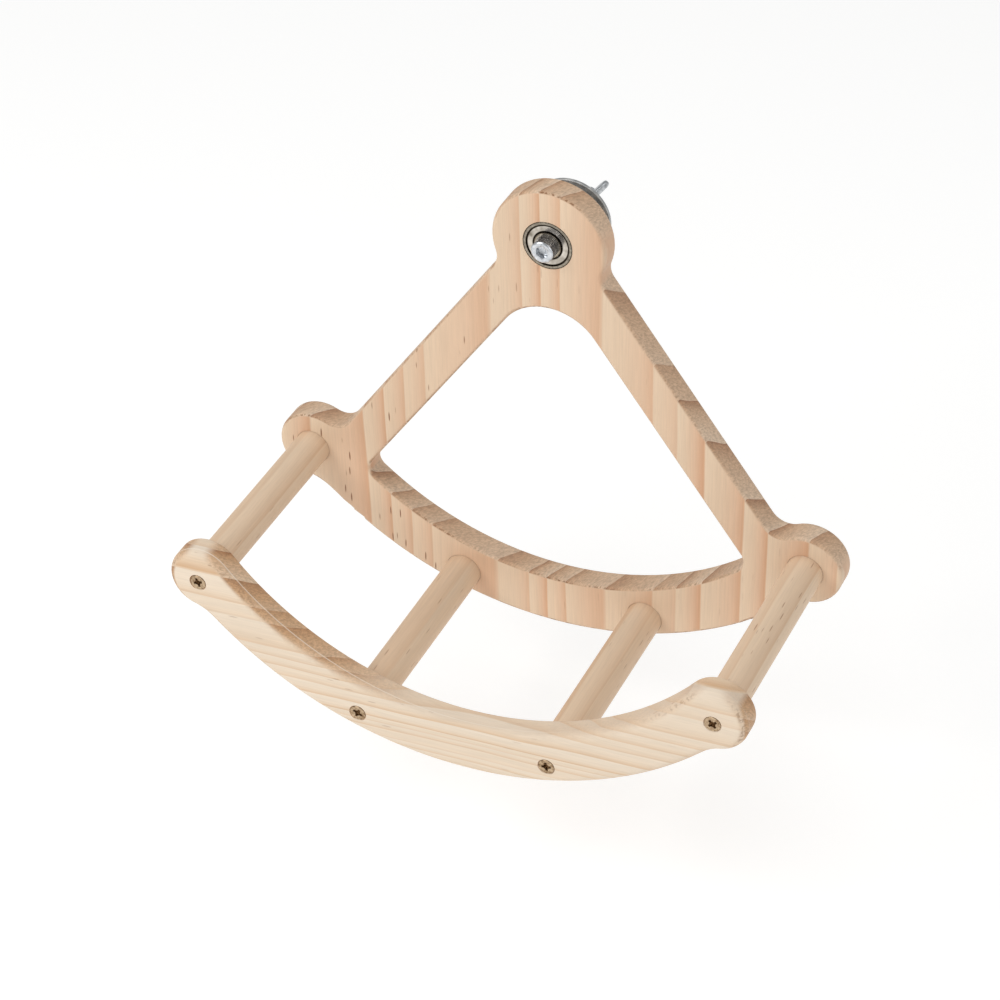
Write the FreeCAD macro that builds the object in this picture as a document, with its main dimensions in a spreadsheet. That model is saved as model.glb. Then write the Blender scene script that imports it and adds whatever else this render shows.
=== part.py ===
"""Pine seesaw for a small-animal cage.

An A-shaped back panel and a curved front rail are held apart by four dowels, which make the
floor that the animal walks on. The panel's head turns on a ball bearing. A bolt through the
bearing clamps to the bars of the cage between two large washers, tightened by a wing nut.

Frame: millimetres, +Z up, +X to the right, -Y towards the front rail. The Y axis is the pivot,
and the XZ plane is the face of the inner clamp washer that bears on the cage. Each body is drawn
with the front face of the panel at its own Y 0, and is placed in front of the cage.
"""
import FreeCAD
import Part
import math
import os
import re
import Sketcher

V = FreeCAD.Vector
doc = FreeCAD.newDocument("Seesaw")

# ---------------------------------------------------------------- driving sizes, in mm and degrees
SIZES = {
    # wooden panel
    "panel_thickness": 12,
    "head_radius": 25,
    "neck_fillet": 8,
    "arm_outer_offset": 11,
    "arm_inner_offset": 8,
    "window_top_radius": 24.5,
    "window_corner_radius": 6,
    "foot_wall_above": 7,
    "foot_wall_below": 1,
    "arc_centre_drop": 36,
    "ear_wall": 8.5,
    "ear_stand_out": 4.3,
    "end_circle_inset": 0.5,
    "ear_fillet": 9,
    "ear_foot_fillet": 25,
    "panel_edge_round": 1.5,
    # wooden rail
    "rail_thickness": 12,
    "rail_gap": 93,
    "rail_wall_above": 7,
    "rail_lobe_fillet": 18,
    "rail_front_round": 4,
    "rail_rear_round": 1.2,
    # dowels and their sockets
    "dowel_radius": 8,
    "dowel_pitch_angle": 33.4,
    "dowel_circle_radius": 150,
    "dowel_end_chamfer": 0.6,
    "socket_depth": 5,
    "socket_clearance": 0.15,
    # wood screws
    "screw_length": 30,
    "screw_head_radius": 3.5,
    "screw_head_rim": 0.3,
    "screw_shank_radius": 1.7,
    "screw_tip_length": 4,
    "screw_recess_half_width": 2.1,
    "screw_recess_wing": 0.42,
    "screw_recess_depth": 1.7,
    "screw_hole_clearance": 0.15,
    "screw_sink_clearance": 0.1,
    "pilot_clearance": 0.05,
    "pilot_extra_depth": 1,
    # ball bearing
    "bearing_outer_radius": 11,
    "bearing_bore_radius": 4,
    "bearing_width": 7,
    "land_offset": 1.45,
    "shield_seat_step": 0.65,
    "shield_seat_depth": 0.9,
    "shield_thickness": 0.35,
    "shield_flat_depth": 0.3,
    "shield_bore_gap": 0.35,
    "ring_edge_chamfer": 0.3,
    "ball_radius": 1.98,
    "ball_count": 7,
    "race_clearance": 0.05,
    "ball_pocket_clearance": 0.07,
    "ball_cage_wall": 0.9,
    "ball_cage_gap": 0.15,
    "bearing_seat_clearance": 0.02,
    "bearing_shoulder": 1.7,
    # bolt, sleeve and clamp
    "bolt_radius": 2.95,
    "bolt_length": 45,
    "bolt_end_chamfer": 0.8,
    "bolt_head_radius": 5,
    "bolt_head_height": 6,
    "bolt_head_chamfer": 0.5,
    "bolt_socket_flats": 5,
    "bolt_socket_depth": 3,
    "sleeve_clearance": 0.03,
    "lock_nut_flats": 10,
    "panel_running_gap": 1,
    "lock_nut_collar": 1.6,
    "lock_nut_chamfer": 0.7,
    "washer_radius": 17.5,
    "washer_bore_clearance": 0.25,
    "washer_thickness": 1.6,
    "washer_edge_round": 0.3,
    "clamp_gap": 9,
    # wing nut
    "thread_clearance": 0.06,
    "wing_hub_radius": 6.2,
    "wing_hub_top_radius": 4.8,
    "wing_hub_height": 7,
    "wing_tip_radius": 3.6,
    "wing_tip_reach": 12.4,
    "wing_tip_height": 10.8,
    "wing_root_radius": 3,
    "wing_root_reach": 3.6,
    "wing_root_height": 3.4,
    "wing_thickness": 2.6,
    "wing_edge_round": 1,
    "wing_turn": 47,
}

sheet = doc.addObject("Spreadsheet::Sheet", "Sizes")
for row, (alias, size) in enumerate(SIZES.items(), start=1):
    sheet.set(f"A{row}", alias)
    sheet.set(f"B{row}", str(size))
    sheet.setAlias(f"B{row}", alias)
doc.recompute()

# ---------------------------------------------------------------- sizes that follow from them
# The foot, the rail and their ends follow the dowels, and the arms run from the head to the ears.
DERIVED = {
    "foot_arc_radius": "dowel_circle_radius + dowel_radius + foot_wall_below",
    "window_arc_radius": "dowel_circle_radius - dowel_radius - foot_wall_above",
    "rail_top_arc_radius": "dowel_circle_radius - dowel_radius - rail_wall_above",
    "end_circle_radius": "dowel_circle_radius - end_circle_inset",
    "lobe_radius": "end_circle_radius - rail_top_arc_radius",
    "ear_radius": "dowel_radius + ear_wall",
    "ear_out": "end_circle_radius * sin(1.5 * dowel_pitch_angle)",
    "ear_down": "arc_centre_drop + end_circle_radius * cos(1.5 * dowel_pitch_angle)",
    "arm_angle": "atan2(ear_out; ear_down)"
                 " - asin((arm_outer_offset + ear_stand_out) / hypot(ear_out; ear_down))",
    "arch_drop": "(window_top_radius + arm_inner_offset) / sin(arm_angle)",
    "rail_front": "-(rail_gap + rail_thickness)",
    "screw_hole_radius": "screw_shank_radius + screw_hole_clearance",
    "screw_sink_depth": "screw_head_radius + screw_head_rim + screw_sink_clearance"
                        " - screw_hole_radius",
    "pilot_radius": "screw_shank_radius + pilot_clearance",
    "dowel_front": "rail_gap + socket_depth",
    "mid_bearing": "bearing_width / 2",
    "ball_circle_radius": "(bearing_bore_radius + bearing_outer_radius) / 2",
    "inner_land_radius": "ball_circle_radius - land_offset",
    "outer_land_radius": "ball_circle_radius + land_offset",
    "shield_seat_radius": "outer_land_radius + shield_seat_step",
    "race_radius": "ball_radius + race_clearance",
    "race_half_width": "sqrt(race_radius^2 - land_offset^2)",
    "ball_cage_width": "bearing_width - 2 * (shield_seat_depth + ball_cage_gap)",
    "threaded_bore_radius": "bolt_radius + thread_clearance",
    "lock_nut_height": "panel_thickness + panel_running_gap - bearing_width",
    "inner_washer_start": "bearing_width + lock_nut_height",
    "cage_face": "inner_washer_start + washer_thickness",
    "outer_washer_start": "cage_face + clamp_gap",
}


# ---------------------------------------------------------------- helpers
def expr(text):
    """Turns sizes named in a formula into references to the objects that hold them."""
    def reference(match):
        name = match[0]
        return f"Sizes.{name}" if name in SIZES else f"Derived.{name}" if name in DERIVED else name
    return re.sub(r"[a-z_]{3,}", reference, str(text))


derived = doc.addObject("App::VarSet", "Derived")
for name, formula in DERIVED.items():
    derived.addProperty("App::PropertyFloat", name)
    derived.setExpression(name, expr(formula))
doc.recompute()


def number(text):
    """Present value of a formula."""
    value = sheet.evalExpression(expr(text))
    return float(getattr(value, "Value", value))


def drive(thing, **formulas):
    """Ties properties of a feature to formulas."""
    for name, formula in formulas.items():
        setattr(thing, name, number(formula))
        thing.setExpression(name, expr(formula))


def new_body(name, x="0", y="0", z="0"):
    """Body whose own Y 0 is at a height y behind the front face of the panel."""
    body = doc.addObject("PartDesign::Body", name)
    body.Label = name
    for axis, formula in (("x", x), ("y", f"{y} - cage_face"), ("z", z)):
        body.setExpression(f"Placement.Base.{axis}", expr(formula))
    return body


def origin_part(body, role):
    return next(item for item in body.Origin.OriginFeatures if item.Role == role)


def new_sketch(body, label, plane="XZ_Plane", offset="0"):
    """Sketch on one of the body's own planes. On XZ_Plane a positive offset goes towards -Y."""
    sketch = body.newObject("Sketcher::SketchObject", f"{body.Name}_{label}")
    sketch.AttachmentSupport = [(origin_part(body, plane), "")]
    sketch.MapMode = "FlatFace"
    sketch.setExpression("AttachmentOffset.Base.z", expr(offset))
    return sketch


def constrain(sketch, kind, *where, formula):
    index = sketch.addConstraint(Sketcher.Constraint(kind, *where, number(formula)))
    sketch.setExpression(f"Constraints[{index}]", expr(formula))


def circle(sketch, x, y, radius):
    item = sketch.addGeometry(Part.Circle(V(number(x), number(y), 0), V(0, 0, 1), number(radius)))
    constrain(sketch, "DistanceX", item, 3, formula=x)
    constrain(sketch, "DistanceY", item, 3, formula=y)
    constrain(sketch, "Radius", item, formula=radius)


def outline(sketch, corners):
    """Closed outline through corners (x, y), or (x, y, radius, centre_x, centre_y, turn), where the
    edge that leaves the corner is an arc. turn is 1 for anticlockwise and -1 for clockwise."""
    points = [V(number(c[0]), number(c[1]), 0) for c in corners]
    ends = []
    for i, corner in enumerate(corners):
        start, end = points[i], points[(i + 1) % len(points)]
        if len(corner) == 2:
            item = sketch.addGeometry(Part.LineSegment(start, end))
            ends.append((item, 1, 2))
            continue
        centre = V(number(corner[3]), number(corner[4]), 0)
        first, last = (start, end) if corner[5] > 0 else (end, start)
        angles = [math.atan2(p.y - centre.y, p.x - centre.x) for p in (first, last)]
        if angles[1] < angles[0]:
            angles[1] += 2 * math.pi
        full = Part.Circle(centre, V(0, 0, 1), number(corner[2]))
        item = sketch.addGeometry(Part.ArcOfCircle(full, *angles))
        ends.append((item, 1, 2) if corner[5] > 0 else (item, 2, 1))
    for i, corner in enumerate(corners):
        before, here = ends[i - 1], ends[i]
        sketch.addConstraint(Sketcher.Constraint("Coincident", before[0], before[2], here[0], here[1]))
        constrain(sketch, "DistanceX", here[0], here[1], formula=corner[0])
        constrain(sketch, "DistanceY", here[0], here[1], formula=corner[1])
        if len(corner) > 2:
            constrain(sketch, "Radius", here[0], formula=corner[2])


def extrude(kind, sketch, label, length=None, backwards=False):
    """Pad or Pocket of a sketch. A pocket with no length goes right through."""
    body = sketch.getParentGeoFeatureGroup()
    feature = body.newObject(f"PartDesign::{kind}", f"{body.Name}_{label}")
    feature.Profile = sketch
    feature.Reversed = backwards
    if length is None:
        feature.Type = "ThroughAll"
        feature.Midplane = True
    else:
        drive(feature, Length=length)
    doc.recompute()
    return feature


def revolve(sketch, label, kind="Revolution", about_x=None):
    """Turns a sketch on XY_Plane about the body's Y axis, or about the line at a given x."""
    body = sketch.getParentGeoFeatureGroup()
    axis = (origin_part(body, "Y_Axis"), [""])
    if about_x is not None:
        x = number(about_x)
        line = sketch.addGeometry(Part.LineSegment(V(x, 0, 0), V(x, 10, 0)), True)
        sketch.addConstraint(Sketcher.Constraint("Vertical", line))
        sketch.addConstraint(Sketcher.Constraint("DistanceY", line, 1, line, 2, 10.0))
        sketch.addConstraint(Sketcher.Constraint("PointOnObject", line, 1, -1))
        constrain(sketch, "DistanceX", line, 1, formula=about_x)
        axis = (sketch, ["Axis0"])
    feature = body.newObject(f"PartDesign::{kind}", f"{body.Name}_{label}")
    feature.Profile = sketch
    feature.ReferenceAxis = axis
    feature.Angle = 360
    doc.recompute()
    return feature


def pattern(features, label, angle, count):
    """Repeats features around the body's own Y axis."""
    body = features[0].getParentGeoFeatureGroup()
    repeat = body.newObject("PartDesign::PolarPattern", f"{body.Name}_{label}")
    repeat.Originals = features
    repeat.Axis = (origin_part(body, "Y_Axis"), [""])
    drive(repeat, Angle=angle)
    repeat.setExpression("Occurrences", expr(count))
    body.Tip = repeat
    doc.recompute()
    return repeat


def edge_names(feature, test):
    return [f"Edge{i}" for i, edge in enumerate(feature.Shape.Edges, start=1) if test(edge)]


def dress(kind, feature, label, size, test):
    """Fillet or Chamfer on the edges of a feature that pass a test."""
    body = feature.getParentGeoFeatureGroup()
    item = body.newObject(f"PartDesign::{kind}", f"{body.Name}_{label}")
    item.Base = (feature, edge_names(feature, test))
    drive(item, **{"Radius" if kind == "Fillet" else "Size": size})
    body.Tip = item
    doc.recompute()
    return item


def on_plane(y):
    """Test for edges that lie in the plane at a height along the body's Y axis."""
    height = number(y)
    return lambda edge: max(abs(edge.BoundBox.YMin - height), abs(edge.BoundBox.YMax - height)) < 1e-4


def ring_on_plane(y, radius):
    """Test for circular edges of one radius in a plane across the Y axis."""
    flat, size = on_plane(y), number(radius)
    return lambda edge: (flat(edge) and isinstance(edge.Curve, Part.Circle)
                         and abs(edge.Curve.Radius - size) < 1e-4)


def along_y_near(*spots):
    """Test for straight edges along Y that pass within 1 mm of a spot (x, z)."""
    places = [(number(x), number(z)) for x, z in spots]

    def test(edge):
        box = edge.BoundBox
        if box.YLength < 1 or max(box.XLength, box.ZLength) > 1e-4:
            return False
        return any(math.hypot(box.XMin - x, box.ZMin - z) < 1 for x, z in places)
    return test


# ---------------------------------------------------------------- places shared by several pieces
SIDES = (-1, 1)
DOWEL_STEPS = {"outer_left": -1.5, "inner_left": -0.5, "inner_right": 0.5, "outer_right": 1.5}


def on_arc(radius, step):
    """Point on a circle about the centre of the arcs, counted in dowel pitches from the middle."""
    return (f"({radius}) * sin({step} * dowel_pitch_angle)",
            f"-arc_centre_drop - ({radius}) * cos({step} * dowel_pitch_angle)")


def arm_meets_arc(side, offset, radius):
    """Where an arm's edge, offset from the pivot, meets an arc of the foot."""
    reach = (f"(arc_centre_drop * cos(arm_angle) + sqrt(({radius})^2"
             f" - (arc_centre_drop * sin(arm_angle) + ({offset}))^2))")
    return (f"{side} * (({offset}) * cos(arm_angle) + {reach} * sin(arm_angle))",
            f"({offset}) * sin(arm_angle) - {reach} * cos(arm_angle)")


def arm_meets_head(side):
    reach = "sqrt(head_radius^2 - arm_outer_offset^2)"
    return (f"{side} * (arm_outer_offset * cos(arm_angle) + {reach} * sin(arm_angle))",
            f"arm_outer_offset * sin(arm_angle) - {reach} * cos(arm_angle)")


def arm_meets_ear(side):
    """Upper crossing of an arm's outer edge with the circle of the ear."""
    half = "sqrt(ear_radius^2 - ear_stand_out^2)"
    return (f"{side} * (ear_out - ear_stand_out * cos(arm_angle) - {half} * sin(arm_angle))",
            f"-ear_down - ear_stand_out * sin(arm_angle) + {half} * cos(arm_angle)")


def foot_meets_end(side, radius):
    """Where the foot's arc, coming from the middle, meets the circle of an ear or a lobe."""
    along = f"((end_circle_radius^2 + foot_arc_radius^2 - ({radius})^2) / (2 * end_circle_radius))"
    across = f"sqrt(foot_arc_radius^2 - {along}^2)"
    turn = "(1.5 * dowel_pitch_angle)"
    return (f"{side} * ({along} * sin{turn} - {across} * cos{turn})",
            f"-arc_centre_drop - {along} * cos{turn} - {across} * sin{turn}")


def drill(body, label, radius, offset="0", length=None, backwards=False):
    """Four round cuts, one at each dowel, from a plane across the Y axis."""
    sketch = new_sketch(body, f"{label}_sketch", offset=offset)
    for step in DOWEL_STEPS.values():
        circle(sketch, *on_arc("dowel_circle_radius", step), radius)
    return extrude("Pocket", sketch, label, length, backwards)


# ---------------------------------------------------------------- back panel
panel = new_body("back_panel")

plate = new_sketch(panel, "plate_outline")
left, right = (arm_meets_arc(side, "arm_outer_offset", "foot_arc_radius") for side in SIDES)
outline(plate, [
    ("0", "arm_outer_offset / sin(arm_angle)"),
    (*left, "foot_arc_radius", "0", "-arc_centre_drop", 1),
    right,
])
extrude("Pad", plate, "plate", "panel_thickness", backwards=True)

head = new_sketch(panel, "head_outline")
circle(head, "0", "0", "head_radius")
extrude("Pad", head, "head", "panel_thickness", backwards=True)

ears = new_sketch(panel, "ear_outlines")
for side in SIDES:
    circle(ears, *on_arc("end_circle_radius", side * 1.5), "ear_radius")
blank = extrude("Pad", ears, "ears", "panel_thickness", backwards=True)

for label, size, spots in (
        ("neck", "neck_fillet", [arm_meets_head(side) for side in SIDES]),
        ("ear_top", "ear_fillet", [arm_meets_ear(side) for side in SIDES]),
        ("ear_foot", "ear_foot_fillet", [foot_meets_end(side, "ear_radius") for side in SIDES])):
    blank = dress("Fillet", blank, f"{label}_fillet", size, along_y_near(*spots))

# The window's arched top is tangent to both arms.
window = new_sketch(panel, "window_outline")
arch_ends = [(f"{side} * window_top_radius * cos(arm_angle)",
              f"window_top_radius * sin(arm_angle) - arch_drop") for side in SIDES]
window_corners = [arm_meets_arc(side, "-arm_inner_offset", "window_arc_radius") for side in SIDES]
outline(window, [
    (*arch_ends[1], "window_top_radius", "0", "-arch_drop", 1),
    arch_ends[0],
    (*window_corners[0], "window_arc_radius", "0", "-arc_centre_drop", 1),
    window_corners[1],
])
blank = extrude("Pocket", window, "window")
blank = dress("Fillet", blank, "window_corners", "window_corner_radius",
              along_y_near(*window_corners))
faces = [on_plane("0"), on_plane("panel_thickness")]
dress("Fillet", blank, "edge_round", "panel_edge_round", lambda edge: any(t(edge) for t in faces))

seat = new_sketch(panel, "bearing_seat_sketch")
circle(seat, "0", "0", "bearing_outer_radius + bearing_seat_clearance")
extrude("Pocket", seat, "bearing_seat", "bearing_width")
eye = new_sketch(panel, "bolt_eye_sketch")
circle(eye, "0", "0", "bearing_outer_radius - bearing_shoulder")
extrude("Pocket", eye, "bolt_eye")

drill(panel, "sockets", "dowel_radius + socket_clearance", length="socket_depth")
holes = drill(panel, "screw_holes", "screw_hole_radius")
dress("Chamfer", holes, "screw_sinks", "screw_sink_depth",
      ring_on_plane("panel_thickness", "screw_hole_radius"))

# ---------------------------------------------------------------- front rail
rail = new_body("front_rail")

rail_outline = new_sketch(rail, "outline", offset="rail_gap")
tops = [on_arc("rail_top_arc_radius", side * 1.5) for side in SIDES]
feet = [foot_meets_end(side, "lobe_radius") for side in SIDES]
lobes = [on_arc("end_circle_radius", side * 1.5) for side in SIDES]
outline(rail_outline, [
    (*tops[0], "rail_top_arc_radius", "0", "-arc_centre_drop", 1),
    (*tops[1], "lobe_radius", *lobes[1], -1),
    (*feet[1], "foot_arc_radius", "0", "-arc_centre_drop", -1),
    (*feet[0], "lobe_radius", *lobes[0], -1),
])
bar = extrude("Pad", rail_outline, "bar", "rail_thickness")
bar = dress("Fillet", bar, "lobe_fillet", "rail_lobe_fillet", along_y_near(*feet))
bar = dress("Fillet", bar, "front_round", "rail_front_round", on_plane("rail_front"))
dress("Fillet", bar, "rear_round", "rail_rear_round", on_plane("-rail_gap"))

drill(rail, "sockets", "dowel_radius + socket_clearance", "rail_gap", "socket_depth", backwards=True)
holes = drill(rail, "screw_holes", "screw_hole_radius", "rail_gap")
dress("Chamfer", holes, "screw_sinks", "screw_sink_depth", ring_on_plane("rail_front", "screw_hole_radius"))

# ---------------------------------------------------------------- dowels
# Each dowel sits in a socket at both ends and has a pilot hole for a screw there.
dowels = []
for name, step in DOWEL_STEPS.items():
    x, z = on_arc("dowel_circle_radius", step)
    dowel = new_body(f"dowel_{name}", x=x, z=z)
    dowels.append(dowel)
    rod = new_sketch(dowel, "rod_outline", offset="-socket_depth")
    circle(rod, "0", "0", "dowel_radius")
    stick = extrude("Pad", rod, "rod", "rail_gap + 2 * socket_depth")
    ends = [ring_on_plane(y, "dowel_radius") for y in ("socket_depth", "-dowel_front")]
    dress("Chamfer", stick, "end_chamfer", "dowel_end_chamfer", lambda e: any(t(e) for t in ends))
    for place, offset, board, backwards in (("rear", "-socket_depth", "panel_thickness", True),
                                            ("front", "dowel_front", "rail_thickness", False)):
        pilot = new_sketch(dowel, f"{place}_pilot_sketch", offset=offset)
        circle(pilot, "0", "0", "pilot_radius")
        depth = f"screw_length + pilot_extra_depth - ({board} - socket_depth)"
        extrude("Pocket", pilot, f"{place}_pilot", depth, backwards)


# ---------------------------------------------------------------- wood screws
def screw_set(name, face, inwards):
    """Four countersunk screws with cross recesses, their heads flush with a face across Y.
    inwards is 1 for screws that point to +Y and -1 for -Y."""
    body = new_body(name, z="-arc_centre_drop")
    x = "dowel_circle_radius * sin(1.5 * dowel_pitch_angle)"
    z = "-dowel_circle_radius * cos(1.5 * dowel_pitch_angle)"
    profile = new_sketch(body, "profile", "XY_Plane", z)
    sink = "screw_head_rim + screw_head_radius - screw_shank_radius"
    outline(profile, [(f"{x} + {r}", f"({face}) + ({inwards}) * ({depth})") for r, depth in (
        ("0", "0"), ("screw_head_radius", "0"), ("screw_head_radius", "screw_head_rim"),
        ("screw_shank_radius", sink), ("screw_shank_radius", "screw_length - screw_tip_length"),
        ("0", "screw_length"))])
    screw = revolve(profile, "screw", about_x=x)
    cross = new_sketch(body, "recess_sketch", offset=f"-({face})")
    far, near = "screw_recess_half_width", "screw_recess_wing"
    quarter = [(far, near), (near, near), (near, far)]
    points = []
    for i in range(4):
        for u, w in quarter:
            points.append([(u, w), (f"-{w}", u), (f"-{u}", f"-{w}"), (w, f"-{u}")][i])
    outline(cross, [(f"{x} + ({u})", f"{z} + ({w})") for u, w in points])
    recess = extrude("Pocket", cross, "recess", "screw_recess_depth", backwards=inwards < 0)
    pattern([screw, recess], "set", "3 * dowel_pitch_angle", "4")
    return body


front_screws = screw_set("front_screws", "rail_front", 1)
rear_screws = screw_set("rear_screws", "panel_thickness", -1)

# ---------------------------------------------------------------- ball bearing
# Half sections are drawn in the XY plane as (radius, distance along the bearing's axis).
outer_ring = new_body("bearing_outer_ring")
ring_section = new_sketch(outer_ring, "section", "XY_Plane")
outline(ring_section, [
    ("bearing_outer_radius", "ring_edge_chamfer"),
    ("bearing_outer_radius", "bearing_width - ring_edge_chamfer"),
    ("bearing_outer_radius - ring_edge_chamfer", "bearing_width"),
    ("shield_seat_radius", "bearing_width"),
    ("shield_seat_radius", "bearing_width - shield_seat_depth"),
    ("outer_land_radius", "bearing_width - shield_seat_depth"),
    ("outer_land_radius", "mid_bearing + race_half_width",
     "race_radius", "ball_circle_radius", "mid_bearing", -1),
    ("outer_land_radius", "mid_bearing - race_half_width"),
    ("outer_land_radius", "shield_seat_depth"),
    ("shield_seat_radius", "shield_seat_depth"),
    ("shield_seat_radius", "0"),
    ("bearing_outer_radius - ring_edge_chamfer", "0"),
])
revolve(ring_section, "ring")

inner_ring = new_body("bearing_inner_ring")
ring_section = new_sketch(inner_ring, "section", "XY_Plane")
outline(ring_section, [
    ("inner_land_radius", "0"),
    ("inner_land_radius", "mid_bearing - race_half_width",
     "race_radius", "ball_circle_radius", "mid_bearing", -1),
    ("inner_land_radius", "mid_bearing + race_half_width"),
    ("inner_land_radius", "bearing_width"),
    ("bearing_bore_radius + ring_edge_chamfer", "bearing_width"),
    ("bearing_bore_radius", "bearing_width - ring_edge_chamfer"),
    ("bearing_bore_radius", "ring_edge_chamfer"),
    ("bearing_bore_radius + ring_edge_chamfer", "0"),
])
revolve(ring_section, "ring")

# A shield is a dished disc whose rim rests on the step of the outer ring.
shield_edge = "shield_seat_radius - bearing_seat_clearance"
shields = []
for name, face, inwards in (("front", "0", 1), ("rear", "bearing_width", -1)):
    shield = new_body(f"bearing_{name}_shield")
    shields.append(shield)
    section = new_sketch(shield, "section", "XY_Plane")
    outline(section, [(r, f"{face} + ({inwards}) * ({depth})") for r, depth in (
        ("inner_land_radius + shield_bore_gap", "shield_flat_depth"),
        ("outer_land_radius", "shield_flat_depth"),
        ("outer_land_radius", "shield_seat_depth - shield_thickness"),
        (shield_edge, "shield_seat_depth - shield_thickness"),
        (shield_edge, "shield_seat_depth"),
        ("outer_land_radius - shield_thickness", "shield_seat_depth"),
        ("outer_land_radius - shield_thickness", "shield_flat_depth + shield_thickness"),
        ("inner_land_radius + shield_bore_gap", "shield_flat_depth + shield_thickness"))])
    revolve(section, "disc")

balls = new_body("bearing_balls")
ball = balls.newObject("PartDesign::AdditiveSphere", "bearing_balls_ball")
drive(ball, Radius="ball_radius")
ball.setExpression("Placement.Base.x", expr("ball_circle_radius"))
ball.setExpression("Placement.Base.y", expr("mid_bearing"))
doc.recompute()
pattern([ball], "set", "360", "ball_count")

retainer = new_body("bearing_ball_cage")
section = new_sketch(retainer, "section", "XY_Plane")
outline(section, [
    (f"ball_circle_radius + ({i}) * ball_cage_wall / 2", f"mid_bearing + ({j}) * ball_cage_width / 2")
    for i, j in ((-1, -1), (1, -1), (1, 1), (-1, 1))])
revolve(section, "band")
opening = new_sketch(retainer, "pocket_sketch", "YZ_Plane")
circle(opening, "mid_bearing", "0", "ball_radius + ball_pocket_clearance")
opening_cut = extrude("Pocket", opening, "pocket", "ball_circle_radius + ball_cage_wall", backwards=True)
pattern([opening_cut], "pockets", "360", "ball_count")

# ---------------------------------------------------------------- bolt, sleeve, lock nut
bolt = new_body("clamp_bolt")
section = new_sketch(bolt, "section", "XY_Plane")
outline(section, [
    ("0", "-bolt_head_height"),
    ("bolt_head_radius - bolt_head_chamfer", "-bolt_head_height"),
    ("bolt_head_radius", "-bolt_head_height + bolt_head_chamfer"),
    ("bolt_head_radius", "0"),
    ("bolt_radius", "0"),
    ("bolt_radius", "bolt_length - bolt_end_chamfer"),
    ("bolt_radius - bolt_end_chamfer", "bolt_length"),
    ("0", "bolt_length"),
])
revolve(section, "turned")


def hexagon(sketch, flats):
    """Regular hexagon about the sketch's origin, with two flats across its own x."""
    outline(sketch, [(f"({flats}) / sqrt(3) * cos({60 * i + 30})",
                      f"({flats}) / sqrt(3) * sin({60 * i + 30})") for i in range(6)])


socket = new_sketch(bolt, "socket_sketch", offset="bolt_head_height")
hexagon(socket, "bolt_socket_flats")
extrude("Pocket", socket, "socket", "bolt_socket_depth")

sleeve = new_body("bolt_sleeve")
section = new_sketch(sleeve, "section", "XY_Plane")
outline(section, [
    ("bolt_radius + sleeve_clearance", "0"),
    ("bearing_bore_radius - sleeve_clearance", "0"),
    ("bearing_bore_radius - sleeve_clearance", "bearing_width"),
    ("bolt_radius + sleeve_clearance", "bearing_width"),
])
revolve(section, "tube")

lock_nut = new_body("lock_nut", y="bearing_width")
flats = new_sketch(lock_nut, "flats_outline")
hexagon(flats, "lock_nut_flats")
extrude("Pad", flats, "flats", "lock_nut_height - lock_nut_collar", backwards=True)
collar = new_sketch(lock_nut, "collar_outline")
circle(collar, "0", "0", "lock_nut_flats / 2 - lock_nut_chamfer")
extrude("Pad", collar, "collar", "lock_nut_height", backwards=True)
corners = new_sketch(lock_nut, "corner_section", "XY_Plane")
outline(corners, [
    ("lock_nut_flats / 2", "0"),
    ("lock_nut_flats / sqrt(3) + lock_nut_chamfer", "0"),
    ("lock_nut_flats / sqrt(3) + lock_nut_chamfer",
     "(lock_nut_flats / sqrt(3) + lock_nut_chamfer - lock_nut_flats / 2) * tan(30)"),
])
revolve(corners, "corner_chamfer", kind="Groove")
bore = new_sketch(lock_nut, "bore_sketch")
circle(bore, "0", "0", "threaded_bore_radius")
extrude("Pocket", bore, "bore")

# ---------------------------------------------------------------- clamp washers
washers = []
for name, start in (("inner", "inner_washer_start"), ("outer", "outer_washer_start")):
    washer = new_body(f"{name}_clamp_washer", y=start)
    washers.append(washer)
    disc = new_sketch(washer, "outline")
    circle(disc, "0", "0", "washer_radius")
    circle(disc, "0", "0", "bolt_radius + washer_bore_clearance")
    plain = extrude("Pad", disc, "disc", "washer_thickness", backwards=True)
    rims = [ring_on_plane(y, "washer_radius") for y in ("0", "washer_thickness")]
    dress("Fillet", plain, "rim_round", "washer_edge_round", lambda e: any(t(e) for t in rims))

# ---------------------------------------------------------------- wing nut
# Each wing is the band round a small root circle and a larger tip circle.
wing_nut = new_body("wing_nut", y="outer_washer_start + washer_thickness")
wing_nut.Placement.Rotation = FreeCAD.Rotation(V(0, -1, 0), number("wing_turn"))
wing_nut.setExpression("Placement.Rotation.Angle", expr("wing_turn"))

reach, rise = "(wing_tip_reach - wing_root_reach)", "(wing_tip_height - wing_root_height)"
span = f"sqrt({reach}^2 + {rise}^2)"
lean = f"((wing_root_radius - wing_tip_radius) / {span})"
spread = f"sqrt(1 - {lean}^2)"


def wing_touch(circle_name, side):
    """Where the straight edge on one side of the wing touches one of its circles."""
    across = f"({reach} * {lean} - ({side}) * {rise} * {spread}) / {span}"
    up = f"({rise} * {lean} + ({side}) * {reach} * {spread}) / {span}"
    return (f"(wing_{circle_name}_reach + wing_{circle_name}_radius * {across})",
            f"(wing_{circle_name}_height + wing_{circle_name}_radius * {up})")


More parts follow.
